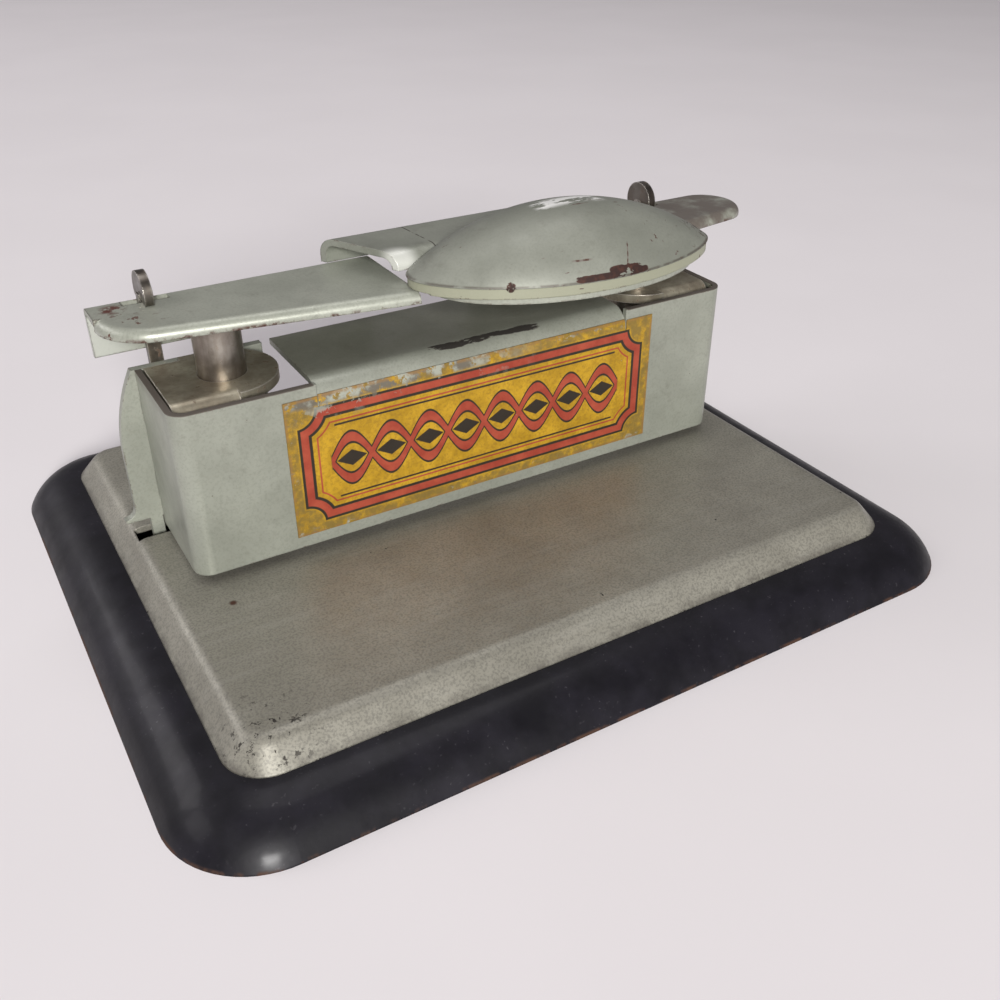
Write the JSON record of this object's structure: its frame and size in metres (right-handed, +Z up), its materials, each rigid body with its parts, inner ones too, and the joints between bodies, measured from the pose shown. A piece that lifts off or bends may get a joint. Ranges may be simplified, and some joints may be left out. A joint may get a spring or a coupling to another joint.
{
  "type": "two-hole paper punch",
  "caption": "Small desk paper punch: black pan base, raised bed, painted sheet case with a plain ornamental label, crossed levers and a domed press pad.",
  "frame": {"origin": "middle of the base's underside", "axes": "+X along the length of the base, +Y to the back, +Z up"},
  "size_m": [0.122, 0.1016, 0.0522],
  "materials": {
    "black_enamel": "gloss",
    "bed_paint": "satin",
    "case_paint": "satin",
    "label_print": "satin",
    "bare_steel": "satin"
  },
  "bodies": {
    "base": {"base_pan": "black_enamel", "bed_plate": "bed_paint", "bottom_cover": "bare_steel", "die_left": "bare_steel", "die_right": "bare_steel", "back_frame": "case_paint", "post_left": "bare_steel", "post_right": "bare_steel", "post_rivets": "bare_steel", "shell": "case_paint", "label": "label_print", "guide_left": "bare_steel", "guide_right": "bare_steel", "spring_left": "bare_steel", "spring_right": "bare_steel"},
    "right_lever": {"lever_right": "case_paint", "yoke": "case_paint", "press_dome": "case_paint", "press_studs": "bare_steel"},
    "left_lever": {"lever_left": "case_paint"},
    "left_punch": {"punch_left": "bare_steel", "collar_left": "bare_steel", "collar_pin_left": "bare_steel"},
    "right_punch": {"punch_right": "bare_steel", "collar_right": "bare_steel", "collar_pin_right": "bare_steel"}
  },
  "joints": [
    {"name": "right_lever_pivot", "type": "hinge", "parent": "base", "child": "right_lever", "pos_m": [0.04222, 0.01188, 0.0431], "axis": [0, -1, 0], "range_deg": [0, 5.5], "stiffness_Nm_per_rad": 0.49, "springref_deg": -12.03},
    {"name": "left_lever_pivot", "type": "hinge", "parent": "base", "child": "left_lever", "pos_m": [-0.04222, 0.01188, 0.0431], "axis": [0, 1, 0], "range_deg": [0, 11.82]},
    {"name": "left_punch_slide", "type": "slide", "parent": "base", "child": "left_punch", "axis": [0, 0, -1], "range_m": [0, 0.00216], "deforming": ["spring_left"]},
    {"name": "right_punch_slide", "type": "slide", "parent": "base", "child": "right_punch", "axis": [0, 0, -1], "range_m": [0, 0.00099], "deforming": ["spring_right"]}
  ],
  "couplings": [
    {"joint": "left_lever_pivot", "follows": "right_lever_pivot", "ratio": 2.148},
    {"joint": "left_punch_slide", "follows": "right_lever_pivot", "m_per_rad": 0.022449},
    {"joint": "right_punch_slide", "follows": "right_lever_pivot", "m_per_rad": 0.010282}
  ]
}
